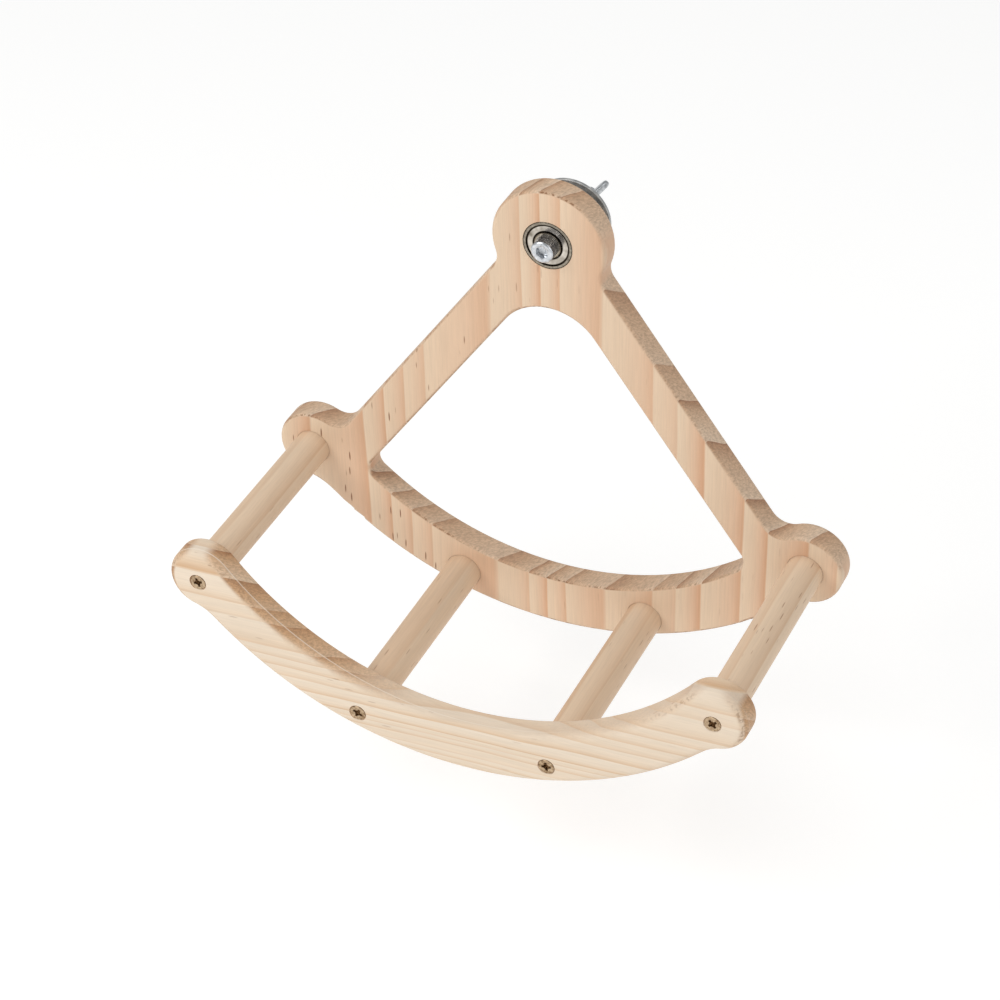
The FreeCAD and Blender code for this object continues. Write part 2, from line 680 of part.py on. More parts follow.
wings = new_sketch(wing_nut, "wing_outlines", "XY_Plane")
for side in SIDES:
    def mirrored(point):
        return f"({side}) * {point[0]}", point[1]
    outline(wings, [
        (*mirrored(wing_touch("root", 1)), "wing_root_radius",
         f"({side}) * wing_root_reach", "wing_root_height", side),
        mirrored(wing_touch("root", -1)),
        (*mirrored(wing_touch("tip", -1)), "wing_tip_radius",
         f"({side}) * wing_tip_reach", "wing_tip_height", side),
        mirrored(wing_touch("tip", 1)),
    ])
blades = wing_nut.newObject("PartDesign::Pad", "wing_nut_wings")
blades.Profile = wings
blades.Midplane = True
drive(blades, Length="wing_thickness")
doc.recompute()
dress("Fillet", blades, "wing_round", "wing_edge_round", lambda edge: edge.BoundBox.ZLength < 1e-4)
hub = new_sketch(wing_nut, "hub_section", "XY_Plane")
outline(hub, [
    ("0", "0"),
    ("wing_hub_radius", "0"),
    ("wing_hub_top_radius", "wing_hub_height"),
    ("0", "wing_hub_height"),
])
revolve(hub, "hub")
bore = new_sketch(wing_nut, "bore_sketch")
circle(bore, "0", "0", "threaded_bore_radius")
extrude("Pocket", bore, "bore")

# ---------------------------------------------------------------- check and write
NODES = [panel, rail, *dowels, front_screws, rear_screws, outer_ring, inner_ring, *shields, balls,
         retainer, bolt, sleeve, lock_nut, *washers, wing_nut]
doc.recompute()
for item in doc.Objects:
    if {"Invalid", "Error"} & set(item.State):
        raise RuntimeError(f"{item.Name} did not build")
for node in NODES:
    if node.Shape.isNull() or not node.Shape.isValid():
        raise RuntimeError(f"{node.Label} has no valid shape")

os.makedirs("parts", exist_ok=True)
for node in NODES:
    node.Shape.exportStep(f"parts/{node.Label}.step")
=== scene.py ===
"""Looks of a wooden swing that hangs on the bars of a small-animal cage.

A pine panel turns on a ball bearing. Four dowels carry a curved pine rail in front of it, and a bolt,
two washers and a wing nut clamp the bearing to the cage. Lengths are in metres; patterns are worked
out in millimetres. +Y runs along the bolt to the back, and +Z is up.
"""

import math

import bmesh
import bpy
from mathutils import Euler, Matrix, Vector


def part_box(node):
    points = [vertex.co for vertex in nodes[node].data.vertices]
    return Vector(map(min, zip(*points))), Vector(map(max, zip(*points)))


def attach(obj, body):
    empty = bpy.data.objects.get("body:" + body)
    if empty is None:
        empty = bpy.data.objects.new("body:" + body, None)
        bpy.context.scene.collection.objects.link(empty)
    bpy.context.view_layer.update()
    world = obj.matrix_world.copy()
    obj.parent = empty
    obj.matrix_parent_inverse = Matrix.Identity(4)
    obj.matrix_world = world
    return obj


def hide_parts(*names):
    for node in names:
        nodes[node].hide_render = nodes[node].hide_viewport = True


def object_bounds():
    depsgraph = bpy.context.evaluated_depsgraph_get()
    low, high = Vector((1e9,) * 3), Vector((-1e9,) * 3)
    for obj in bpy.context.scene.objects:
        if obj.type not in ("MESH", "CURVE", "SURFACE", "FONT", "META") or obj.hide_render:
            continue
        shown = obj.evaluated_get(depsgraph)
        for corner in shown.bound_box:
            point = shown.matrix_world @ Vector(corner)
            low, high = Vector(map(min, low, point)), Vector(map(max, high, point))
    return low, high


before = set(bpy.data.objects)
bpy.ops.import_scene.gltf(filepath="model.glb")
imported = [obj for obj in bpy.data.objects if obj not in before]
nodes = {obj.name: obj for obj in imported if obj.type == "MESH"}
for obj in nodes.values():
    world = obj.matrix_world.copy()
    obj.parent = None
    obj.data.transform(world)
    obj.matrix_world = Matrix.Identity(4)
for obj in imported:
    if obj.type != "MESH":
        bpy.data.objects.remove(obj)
cad_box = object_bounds()

# ---------------------------------------------------------------- pine panel
# The back panel is one 12 mm board of radiata pine, planed, sawn to shape and sanded round at its
# edges. The grain runs up and down, with wide, nearly flat growth rings that cross it at a slant.

MM = 0.001


def srgb(code):
    """Linear colour for an sRGB hex value."""
    levels = [int(code[i:i + 2], 16) / 255 for i in (1, 3, 5)]
    return (*(c / 12.92 if c <= 0.04045 else ((c + 0.055) / 1.055) ** 2.4 for c in levels), 1)


def add(material, kind, settings=None, links=None):
    """Adds a shader node. Settings are its options or its sockets' values, and links feed its sockets
    from other nodes. "stops" are the places and colours of a colour ramp."""
    tree = material.node_tree
    made = tree.nodes.new("ShaderNode" + kind)

    def socket(key):
        if isinstance(key, int):
            return made.inputs[key]
        return next(s for s in made.inputs if s.name == key and s.enabled)

    for key, value in (settings or {}).items():
        if key == "stops":
            ramp = made.color_ramp.elements
            for i, (place, code) in enumerate(value):
                stop = ramp[i] if i < 2 else ramp.new(place)
                stop.position, stop.color = place, srgb(code)
        elif isinstance(key, str) and key.islower():
            setattr(made, key, value)
        else:
            socket(key).default_value = value
    for key, source in (links or {}).items():
        if isinstance(source, bpy.types.Node):
            source = next(s for s in source.outputs if s.enabled)
        tree.links.new(source, socket(key))
    return made


def new_material(name):
    material = bpy.data.materials.new(name)
    material.use_nodes = True
    material.node_tree.nodes.clear()
    return material


def paint(material, *names):
    """Gives CAD nodes a material."""
    for name in names:
        nodes[name].data.materials.clear()
        nodes[name].data.materials.append(material)


def pine(name, pith, turn, ring, face, cut, flecks, sway=8.0, tear=0.0, ridge=0.0, crowd=1.0,
         reach=400.0, sap=None):
    """Solid pine. pith is a point on the tree's centre line and turn lays that line's Z along the grain.
    ring is a growth ring's width in mm. face and cut are the colours over one ring, from its spring to
    its summer wood, along the grain and across it. flecks are the places along X, in metres, where
    resin flecks fade out and where they are thickest. sway is how far the rings wander, in mm. tear is
    how much the cut edges are torn, and ridge how much a painted highlight, a pale line, shows where the
    front round begins. Rings narrow by the power crowd away from the pith, and ring is their width at
    the distance reach, in mm.
    sap is the stretch along X, in metres, over which heartwood turns to sapwood, pale even where cut."""
    wood = new_material(name)
    where = add(wood, "TexCoord")
    place = add(wood, "Mapping", {"vector_type": "TEXTURE", "Location": pith, "Rotation": turn,
                                  "Scale": (MM, MM, MM)}, {"Vector": where.outputs["Object"]})
    # rings wander slowly, and over a much longer way along the grain than across it
    slow = add(wood, "VectorMath", {"operation": "MULTIPLY", 1: (1, 1, 0.2)}, {0: place})
    drift = add(wood, "TexNoise", {"Scale": 1 / 48, "Detail": 3.0}, {"Vector": slow})
    swayed = add(wood, "VectorMath", {"operation": "MULTIPLY_ADD", 1: (sway, sway, 0)},
                 {0: drift.outputs["Color"], 2: place})
    level = add(wood, "VectorMath", {"operation": "MULTIPLY", 1: (1, 1, 0)}, {0: swayed})
    radius = add(wood, "VectorMath", {"operation": "LENGTH"}, {0: level}).outputs["Value"]
    split = add(wood, "SeparateXYZ", links={"Vector": swayed})
    angle = add(wood, "Math", {"operation": "ARCTAN2"}, {0: split.outputs["Y"], 1: split.outputs["X"]})
    around = add(wood, "Math", {"operation": "MULTIPLY"}, {0: angle, 1: radius})
    fibre = add(wood, "CombineXYZ", links={"X": radius, "Y": around, "Z": split.outputs["Z"]})

    # good and bad years make the rings wider and narrower
    share = add(wood, "Math", {"operation": "DIVIDE", 1: reach}, {0: radius})
    raised = add(wood, "Math", {"operation": "POWER", 1: crowd}, {0: share})
    years = add(wood, "Math", {"operation": "MULTIPLY", 1: reach / (crowd * ring)}, {0: raised})
    weather = add(wood, "TexNoise", {"noise_dimensions": "1D", "Scale": 0.45, "Detail": 0.0}, {"W": years})
    count = add(wood, "Math", {"operation": "MULTIPLY_ADD", 1: 1.3}, {0: weather, 2: years})
    phase = add(wood, "Math", {"operation": "FRACT"}, {0: count})
    year = add(wood, "Math", {"operation": "FLOOR"}, {0: count})
    vigour = add(wood, "TexWhiteNoise", {"noise_dimensions": "1D"}, {"W": year})

    # along the grain each ring darkens slowly and ends sharply
    face_ring = add(wood, "ValToRGB", {"stops": face}, {"Fac": phase})
    paler = add(wood, "MapRange", {"To Min": 0.0, "To Max": 0.75}, {"Value": vigour})
    face_tone = add(wood, "Mix", {"data_type": "RGBA", "B": srgb(face[1][1])},
                    {"Factor": paler, "A": face_ring})
    # fibres are about 0.6 mm apart here, coarser than real ones, which would not show
    fine = add(wood, "VectorMath", {"operation": "MULTIPLY", 1: (1.6, 0.9, 0.045)}, {0: fibre})
    streak = add(wood, "TexNoise", {"Scale": 1.0, "Detail": 3.0, "Roughness": 0.6}, {"Vector": fine})
    streak_light = add(wood, "MapRange", {"From Min": 0.3, "From Max": 0.7, "To Min": 0.94,
                                          "To Max": 1.04}, {"Value": streak})
    stain = add(wood, "TexNoise", {"Scale": 1 / 30, "Detail": 2.0}, {"Vector": slow})
    stain_light = add(wood, "MapRange", {"From Min": 0.3, "From Max": 0.7, "To Min": 0.97,
                                         "To Max": 1.03}, {"Value": stain})
    light = add(wood, "Math", {"operation": "MULTIPLY"}, {0: streak_light, 1: stain_light})
    face_lit = add(wood, "HueSaturation", links={"Color": face_tone, "Value": light})

    # resin flecks are slits about 0.5 mm wide and 4.5 mm long
    slits = add(wood, "VectorMath", {"operation": "MULTIPLY", 1: (0.55, 0.55, 0.06)}, {0: fibre})
    cells = add(wood, "TexVoronoi", {"Scale": 1.0}, {"Vector": slits})
    slit = add(wood, "MapRange", {"interpolation_type": "SMOOTHSTEP", "From Min": 0.09, "From Max": 0.18,
                                  "To Min": 1.0, "To Max": 0.0}, {"Value": cells.outputs["Distance"]})
    chosen = add(wood, "SeparateColor", links={"Color": cells.outputs["Color"]})
    few = add(wood, "MapRange", {"From Min": 0.36, "From Max": 0.46}, {"Value": chosen.outputs["Red"]})
    spot = add(wood, "SeparateXYZ", links={"Vector": where.outputs["Object"]})
    region = add(wood, "MapRange", {"From Min": flecks[0], "From Max": flecks[1], "To Min": 0.12},
                 {"Value": spot.outputs["X"]})
    fleck = add(wood, "Math", {"operation": "MULTIPLY"}, {0: slit, 1: few})
    fleck = add(wood, "Math", {"operation": "MULTIPLY"}, {0: fleck, 1: region})
    face_all = add(wood, "Mix", {"data_type": "RGBA", "B": srgb("#8C6248")},
                   {"Factor": fleck, "A": face_lit})

    # where the saw crosses the grain the cut ends of the fibres are darker, speckled and rougher
    axis = Euler(turn).to_matrix() @ Vector((0, 0, 1))
    facing = add(wood, "VectorMath", {"operation": "DOT_PRODUCT", 1: axis},
                 {0: where.outputs["Normal"]})
    across = add(wood, "Math", {"operation": "ABSOLUTE"}, {0: facing.outputs["Value"]})
    end = add(wood, "MapRange", {"interpolation_type": "SMOOTHSTEP", "From Min": 0.12, "From Max": 0.5},
              {"Value": across})
    if sap:
        # heartwood is dark wherever it is cut, and sapwood mainly at the ends of the board
        heart = add(wood, "MapRange", {"From Min": sap[1], "From Max": sap[0], "To Min": 0.25},
                    {"Value": spot.outputs["X"]})
        butt = add(wood, "MapRange", {"From Min": 0.62, "From Max": 0.82}, {"Value": across})
        dark = add(wood, "Math", {"operation": "MAXIMUM"}, {0: heart, 1: butt})
        end = add(wood, "Math", {"operation": "MULTIPLY"}, {0: end, 1: dark})
    cut_ring = add(wood, "ValToRGB", {"stops": cut}, {"Fac": phase})
    open_ends = add(wood, "VectorMath", {"operation": "MULTIPLY", 1: (1.7, 0.45, 0.9)}, {0: fibre})
    speckle = add(wood, "TexNoise", {"Scale": 1.0, "Detail": 4.0, "Roughness": 0.7},
                  {"Vector": open_ends})
    speckle_light = add(wood, "MapRange", {"From Min": 0.36, "From Max": 0.64, "To Min": 0.74,
                                           "To Max": 1.12}, {"Value": speckle})
    cut_tone = add(wood, "Mix", {"data_type": "RGBA", "B": srgb(cut[2][1])},
                   {"Factor": paler, "A": cut_ring})
    cut_lit = add(wood, "HueSaturation", links={"Color": cut_tone, "Value": speckle_light})
    whole = add(wood, "Mix", {"data_type": "RGBA"}, {"Factor": end, "A": face_all, "B": cut_lit})

    # the router tears a few fibres where a cut edge meets the front
    normal = add(wood, "SeparateXYZ", links={"Vector": where.outputs["Normal"]})
    brow = add(wood, "MapRange", {"From Min": -0.35, "From Max": -0.8}, {"Value": normal.outputs["Y"]})
    lip = add(wood, "MapRange", {"From Min": 0.3, "From Max": 0.55, "To Max": tear}, {"Value": across})
    dots = add(wood, "TexNoise", {"Scale": 650.0, "Detail": 2.0}, {"Vector": where.outputs["Object"]})
    dotted = add(wood, "MapRange", {"From Min": 0.5, "From Max": 0.58}, {"Value": dots})
    blunt = add(wood, "MapRange", {"From Min": 0.46, "From Max": 0.56}, {"Value": stain})
    torn = add(wood, "Math", {"operation": "MULTIPLY"}, {0: brow, 1: lip})
    torn = add(wood, "Math", {"operation": "MULTIPLY"}, {0: torn, 1: blunt})
    torn = add(wood, "Math", {"operation": "MULTIPLY"}, {0: torn, 1: dotted})
    jagged = add(wood, "Mix", {"data_type": "RGBA", "B": srgb("#7E5533")}, {"Factor": torn, "A": whole})

    # a painted highlight, a pale line, shows where the round of the front edge begins
    begins = add(wood, "MapRange", {"From Min": -0.01, "From Max": -0.04}, {"Value": normal.outputs["Y"]})
    stops = add(wood, "MapRange", {"From Min": -0.16, "From Max": -0.1, "To Max": ridge},
                {"Value": normal.outputs["Y"]})
    line = add(wood, "Math", {"operation": "MULTIPLY"}, {0: begins, 1: stops})
    if sap:
        line = add(wood, "Math", {"operation": "MULTIPLY"}, {0: line, 1: heart})
    colour = add(wood, "Mix", {"data_type": "RGBA", "B": srgb("#F2E6D6")}, {"Factor": line, "A": jagged})

    rough = add(wood, "MapRange", {"To Min": 0.5, "To Max": 0.66}, {"Value": streak})
    ragged = add(wood, "Math", {"operation": "MULTIPLY"}, {0: speckle, 1: end})
    height = add(wood, "Math", {"operation": "MULTIPLY_ADD", 1: 0.35}, {0: streak, 2: ragged})
    height = add(wood, "Math", {"operation": "SUBTRACT"}, {0: height, 1: fleck})
    bump = add(wood, "Bump", {"Strength": 0.5, "Distance": 0.2 * MM}, {"Height": height})
    shader = add(wood, "BsdfPrincipled", {"IOR": 1.45, "Specular IOR Level": 0.4},
                 {"Base Color": colour, "Roughness": rough, "Normal": bump})
    add(wood, "OutputMaterial", links={"Surface": shader})
    return wood


# rings 13.5 mm wide about a pith far to the left and behind give stripes 15 mm apart on the front
panel_pine = pine(
    "Planed radiata pine", pith=(-0.400, 0.195, 0), turn=(0, 0, 0), ring=13.5,
    face=[(0.0, "#E1CAAF"), (0.35, "#DDC2A6"), (0.7, "#DAB698"), (0.96, "#CF9F7C"), (1.0, "#DBBC9E")],
    cut=[(0.0, "#9C7054"), (0.05, "#B08768"), (0.3, "#CBA98A"), (0.75, "#D8BCA0"), (1.0, "#DDC5AC")],
    flecks=(0.01, -0.05), tear=0.9)
paint(panel_pine, "back_panel")

# ---------------------------------------------------------------- pine rail
# The rail is a second, paler board of pine with closer rings and its grain lengthwise. Its front
# edges have a 4 mm round, and it is fixed by a screw through it into each dowel.

rail_pine = pine(
    "Planed radiata pine, pale", pith=(0, -0.020, -0.020), turn=(0, math.radians(87), 0), ring=4.9,
    crowd=4.0, reach=170.0,
    face=[(0.0, "#E8D9C6"), (0.5, "#E4D1BA"), (0.8, "#DFC4A6"), (0.95, "#D3AE89"), (1.0, "#E0C9AE")],
    cut=[(0.0, "#A37450"), (0.1, "#B58862"), (0.35, "#C9A27C"), (0.8, "#D8B898"), (1.0, "#DEC3A6")],
    flecks=(0.05, -0.3), sway=11.0, tear=0.5, ridge=0.6, sap=(-0.02, 0.06))
paint(rail_pine, "front_rail")

# ---------------------------------------------------------------- dowels
# Four 16 mm dowels, turned from straight pine with the grain along them and sanded, sit in sockets
# 5 mm deep at both ends. Short brown flecks run along them.

dowel_pine = pine(
    "Turned pine rod", pith=(-0.22, 0, 0.06), turn=(math.radians(-90), 0, 0), ring=8.5,
    face=[(0.0, "#DEC6AB"), (0.4, "#DCC2A6"), (0.8, "#D9BC9F"), (0.96, "#D3B292"), (1.0, "#DAC0A4")],
    cut=[(0.0, "#A37450"), (0.1, "#B58862"), (0.4, "#C9A27C"), (0.9, "#D8B898"), (1.0, "#DEC3A6")],
    flecks=(-0.35, 0.55), sway=5.0)
paint(dowel_pine, "dowel_outer_left", "dowel_inner_left", "dowel_inner_right", "dowel_outer_right")

# ---------------------------------------------------------------- wood screws
# Countersunk steel screws with cross recesses go through rail and panel into the ends of the dowels.
# They are zinc plated and yellow passivated, which gives a bronze tone with faint rainbow patches.

BAND_REACH = 12.0  # mm from the pivot to the outermost tint of a metal's bands


def plated(name, tones, rough, grit, depth, turned=0.0, shade_bands=None):
    """A metal finish. tones are the darkest and lightest colours of its mottling, rough the range of its
    roughness, grit the size of a patch in mm, and depth the relief in mm. turned is the spacing in mm
    of lathe marks about the pivot, if it has any. shade_bands are tints at distances from the pivot, in
    mm, whose dark rings paint shade into a bearing's gaps and grooves."""
    metal = new_material(name)
    where = add(metal, "TexCoord")
    patches = add(metal, "TexNoise", {"Scale": 1000 / grit, "Detail": 3.0, "Roughness": 0.55},
                  {"Vector": where.outputs["Object"]})
    tone = add(metal, "ValToRGB", {"stops": [(0.3, tones[0]), (0.7, tones[1])]}, {"Fac": patches})
    height = patches
    if shade_bands:
        flat = add(metal, "VectorMath", {"operation": "MULTIPLY", 1: (1, 0, 1)},
                   {0: where.outputs["Object"]})
        out = add(metal, "VectorMath", {"operation": "LENGTH"}, {0: flat})
        place = add(metal, "Math", {"operation": "MULTIPLY", 1: 1000 / BAND_REACH},
                    {0: out.outputs["Value"]})
        shade_band = add(metal, "ValToRGB", {"stops": [(r / BAND_REACH, tint) for r, tint in shade_bands]},
                   {"Fac": place})
        tone = add(metal, "Mix", {"data_type": "RGBA", "blend_type": "MULTIPLY", "Factor": 1.0},
                   {"A": tone, "B": shade_band})
    if turned:
        lathe = add(metal, "TexWave", {"wave_type": "RINGS", "rings_direction": "Y",
                                       "Scale": 1000 / turned / 20, "Distortion": 0.4, "Detail": 1.0},
                    {"Vector": where.outputs["Object"]})
        height = add(metal, "Math", {"operation": "ADD"}, {0: patches, 1: lathe})
    gloss = add(metal, "MapRange", {"From Min": 0.3, "From Max": 0.7, "To Min": rough[0],
                                    "To Max": rough[1]}, {"Value": patches})
    bump = add(metal, "Bump", {"Strength": 0.5, "Distance": depth * MM}, {"Height": height})
    shader = add(metal, "BsdfPrincipled", {"Metallic": 1.0},
                 {"Base Color": tone, "Roughness": gloss, "Normal": bump})
    add(metal, "OutputMaterial", links={"Surface": shader})
    return metal


screw_plate = plated("Yellow-passivated zinc on steel", ("#84684C", "#CDB596"), (0.25, 0.42), 1.2, 0.02)
# the recess finish is the screw's zinc made much darker: painted shade in the cross recess, with paler
# mottled patches
recess_shade_plate = plated("Passivated zinc with painted shade in the recess", ("#4A3420", "#A07C55"), (0.35, 0.6), 0.8, 0.03)
HEAD_RADIUS, CROWN_RADIUS, MOUTH_RADIUS, SHANK_RADIUS = 3.5 * MM, 2.7 * MM, 2.4 * MM, 1.7 * MM
SCREW_LENGTH, RIM_HEIGHT, CONE_HEIGHT, TIP_HEIGHT = 30 * MM, 0.3 * MM, 1.8 * MM, 4 * MM
CROWN_HEIGHT, RECESS_DEPTH, PIT_DEPTH, SINK = 0.12 * MM, 1.0 * MM, 0.6 * MM, 0.1 * MM
# how far the recess reaches at each 15 degrees: the end of a wing, its corner, its root, and the middle
RECESS = [reach * MM for reach in (2.2, 2.15, 1.25, 1.4, 1.25, 2.15)]


def new_piece(name, bm, body, slot, replaced, *materials, angle=35):
    """Makes a bmesh a finished object that rides on a body and stands for CAD nodes."""
    bmesh.ops.recalc_face_normals(bm, faces=bm.faces)
    mesh = bpy.data.meshes.new(name)
    bm.to_mesh(mesh)
    bm.free()
    mesh.polygons.foreach_set("use_smooth", [True] * len(mesh.polygons))
    mesh.set_sharp_from_angle(angle=math.radians(angle))
    for material in materials:
        mesh.materials.append(material)
    piece = bpy.data.objects.new(name, mesh)
    bpy.context.scene.collection.objects.link(piece)
    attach(piece, body)
    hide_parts(*replaced)
    return piece


def grow(bm, loop, radius=None, step=0.0, scale=None):
    """Extrudes a loop of edges about Z, moves it along Z by step, and sets its radius or scales it."""
    made = bmesh.ops.extrude_edge_only(bm, edges=loop)["geom"]
    for vert in (item for item in made if isinstance(item, bmesh.types.BMVert)):
        if radius is not None:
            vert.co.xy = vert.co.xy.normalized() * radius
        if scale is not None:
            vert.co.xy *= scale
        vert.co.z += step
    return [item for item in made if isinstance(item, bmesh.types.BMEdge)]


def screw_set(name, replaced, outwards, places, turns):
    """Countersunk screws whose heads lie at the ends of the dowels' axes. outwards is -1 to the front."""
    whole = bmesh.new()
    for (x, y, z), turn in zip(places, turns):
        bm = bmesh.new()
        bmesh.ops.create_circle(bm, segments=24, radius=HEAD_RADIUS)
        rim = bm.edges[:]
        crown = grow(bm, rim, radius=HEAD_RADIUS - 0.15 * MM, step=CROWN_HEIGHT)
        crown = grow(bm, crown, radius=CROWN_RADIUS, step=-CROWN_HEIGHT / 3)
        mouth = grow(bm, crown, radius=MOUTH_RADIUS)
        for vert in {v for edge in mouth for v in edge.verts}:
            sector = round(math.degrees(math.atan2(vert.co.y, vert.co.x)) / 15) % 6
            vert.co.xy = vert.co.xy.normalized() * RECESS[sector]
        wall = grow(bm, mouth, scale=0.8, step=-RECESS_DEPTH)
        pit = grow(bm, wall, scale=0.3, step=-PIT_DEPTH)
        bmesh.ops.contextual_create(bm, geom=pit)
        # the recess's wall and pit take the second, darker material, which paints shade into the recess
        for face in (face for edge in wall + pit for face in edge.link_faces):
            face.material_index = 1
        cone = grow(bm, grow(bm, rim, step=-RIM_HEIGHT), radius=SHANK_RADIUS, step=-CONE_HEIGHT)
        shank_step = RIM_HEIGHT + CONE_HEIGHT + TIP_HEIGHT - SCREW_LENGTH
        tip = grow(bm, grow(bm, cone, step=shank_step), scale=0.05, step=-TIP_HEIGHT)
        bmesh.ops.contextual_create(bm, geom=tip)
        bmesh.ops.rotate(bm, verts=bm.verts, matrix=Matrix.Rotation(math.radians(turn), 3, "Z"))
        outward = Matrix.Rotation(math.radians(-90 * outwards), 3, "X")
        bmesh.ops.rotate(bm, verts=bm.verts, matrix=outward)
        bmesh.ops.translate(bm, verts=bm.verts, vec=(x, y, z))
        one = bpy.data.meshes.new("screw")
        bm.to_mesh(one)
        bm.free()
        whole.from_mesh(one)
        bpy.data.meshes.remove(one)
    new_piece(name, whole, "swing", "screw_steel", [replaced], screw_plate, recess_shade_plate)


dowels = [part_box("dowel_" + end) for end in ("outer_left", "inner_left", "inner_right", "outer_right")]
axes = [(low + high) / 2 for low, high in dowels]
rail_front, panel_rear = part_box("front_rail")[0].y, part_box("back_panel")[1].y
front_places = [(axis.x, rail_front + SINK, axis.z) for axis in axes]
rear_places = [(axis.x, panel_rear - SINK, axis.z) for axis in axes]
screw_set("front_screw_set", "front_screws", -1, front_places, (20, 65, 8, 40))
screw_set("rear_screw_set", "rear_screws", 1, rear_places, (70, 30, 12, 55))

# ---------------------------------------------------------------- ball bearing
# A shielded deep-groove bearing, 22 mm across, is pressed flush into the head of the panel. Its rings
# are ground chrome steel with turned faces, and its shields are pressed from bright sheet.

# the dark rings among the bands of the rings and shields are painted shade, with some oil, in the gaps and
# grooves between them, and the dark rings at the ring's outer edge are a painted shadow in the gap to the
# panel
ring_steel = plated(
    "Ground chrome steel", ("#908B84", "#CCC8C0"), (0.2, 0.34), 1.2, 0.006, turned=0.35,
    shade_bands=[(4.2, "#FFFFFF"), (5.5, "#E8DECE"), (5.95, "#5A4E40"), (9.55, "#4A4034"), (9.85, "#DCD6CC"),
           (10.5, "#CBC4B8"), (10.8, "#57504A"), (11.0, "#3A3430")])
shield_steel = plated(
    "Pressed bright steel sheet", ("#7E786E", "#F2EEE8"), (0.1, 0.24), 5.0, 0.012,
    shade_bands=[(6.3, "#2E2820"), (6.6, "#3A3228"), (6.85, "#F8F4EE"), (8.75, "#F8F4EE"), (8.95, "#4A4034"),
           (9.6, "#2E2820")])
ball_steel = plated("Polished chrome steel", ("#C4C6C8", "#DADCDD"), (0.05, 0.1), 3.0, 0.002)
cage_steel = plated("Stamped steel strip", ("#8C8A84", "#B0ADA6"), (0.3, 0.4), 2.0, 0.01)
paint(ring_steel, "bearing_outer_ring", "bearing_inner_ring")
paint(shield_steel, "bearing_front_shield", "bearing_rear_shield")
paint(ball_steel, "bearing_balls")
paint(cage_steel, "bearing_ball_cage")

# ---------------------------------------------------------------- clamp bolt
# An M6 socket-head cap screw, 45 mm under its head, is the axle. The head is knurled, and the shank
# is threaded from behind the bearing. It is steel with a bright zinc plate.

bright_zinc = plated("Bright zinc plate on steel", ("#B4B8BC", "#E2E4E8"), (0.16, 0.34), 1.6, 0.02)
knurl_zinc = plated("Bright zinc plate on a knurl", ("#74757A", "#C2C3C6"), (0.25, 0.45), 0.8, 0.03)
bolt_low, bolt_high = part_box("clamp_bolt")
HEAD_HEIGHT, SOCKET_FLATS, SOCKET_DEPTH = 6 * MM, 5 * MM, 2.6 * MM
THREAD_RADIUS, THREAD_ROOT, PITCH, THREAD_LENGTH = 2.95 * MM, 2.45 * MM, 1 * MM, 32 * MM
TURN_STEPS = 32  # flats in one turn of the thread
SPARE_TURNS = 3  # turns past both ends, cut off afterwards

bm = bmesh.new()
bmesh.ops.create_circle(bm, segments=96, radius=bolt_high.x)
for vert in bm.verts[:][::2]:
    vert.co.xy *= 0.95
foot = bm.edges[:]
side = grow(bm, foot, step=0.55 * MM - HEAD_HEIGHT)
knurled = {face for edge in side for face in edge.link_faces}
shoulder = grow(bm, side, radius=bolt_high.x - 0.35 * MM, step=-0.3 * MM)
shoulder = grow(bm, shoulder, radius=bolt_high.x - 0.7 * MM, step=-0.22 * MM)
top = grow(bm, shoulder, radius=3.5 * MM, step=-0.03 * MM)
hexagon = bmesh.ops.create_circle(bm, segments=6, radius=SOCKET_FLATS / math.sqrt(3))["verts"]
bmesh.ops.translate(bm, verts=hexagon, vec=(0, 0, 0.3 * MM - HEAD_HEIGHT))
sides = list(dict.fromkeys(edge for vert in hexagon for edge in vert.link_edges))
mouth = bmesh.ops.subdivide_edges(bm, edges=sides, cuts=15)["geom_split"]
mouth = [item for item in mouth if isinstance(item, bmesh.types.BMEdge)]
bmesh.ops.bridge_loops(bm, edges=top + mouth)
bottom = grow(bm, mouth, step=SOCKET_DEPTH)
bmesh.ops.contextual_create(bm, geom=grow(bm, bottom, scale=0.1, step=0.8 * MM))
shank = grow(bm, foot, radius=THREAD_RADIUS)
bmesh.ops.contextual_create(bm, geom=grow(bm, shank, step=-bolt_low.y - HEAD_HEIGHT))
for face in bm.faces:
    face.material_index = int(face in knurled)

thread = bmesh.new()
profile = [thread.verts.new((radius, 0, PITCH * share)) for radius, share in (
    (THREAD_ROOT, 0), (THREAD_ROOT, 0.12), (THREAD_RADIUS, 0.44), (THREAD_RADIUS, 0.56),
    (THREAD_ROOT, 0.88), (THREAD_ROOT, 1))]
ridge = [thread.edges.new(pair) for pair in zip(profile, profile[1:])]
thread_end = bolt_high.y - bolt_low.y - HEAD_HEIGHT
thread_start = thread_end - THREAD_LENGTH
turns = round(THREAD_LENGTH / PITCH) + SPARE_TURNS
bmesh.ops.translate(thread, verts=thread.verts, vec=(0, 0, thread_start - 2 * PITCH))
bmesh.ops.spin(thread, geom=profile + ridge, axis=(0, 0, 1), cent=(0, 0, 0),
               dvec=(0, 0, PITCH / TURN_STEPS), angle=2 * math.pi * turns, steps=TURN_STEPS * turns)
bmesh.ops.remove_doubles(thread, verts=thread.verts, dist=0.001 * MM)
for height, normal in ((thread_start, (0, 0, -1)), (thread_end, (0, 0, 1))):
    bmesh.ops.bisect_plane(thread, geom=thread.verts[:] + thread.edges[:] + thread.faces[:],
                           plane_co=(0, 0, height), plane_no=normal, clear_outer=True)
for vert in thread.verts:
    limit = THREAD_RADIUS - max(0.0, vert.co.z - thread_end + 0.7 * MM)
    if vert.co.xy.length > limit:
        vert.co.xy = vert.co.xy.normalized() * limit
bmesh.ops.holes_fill(thread, edges=[edge for edge in thread.edges if edge.is_boundary])
spun = bpy.data.meshes.new("thread")
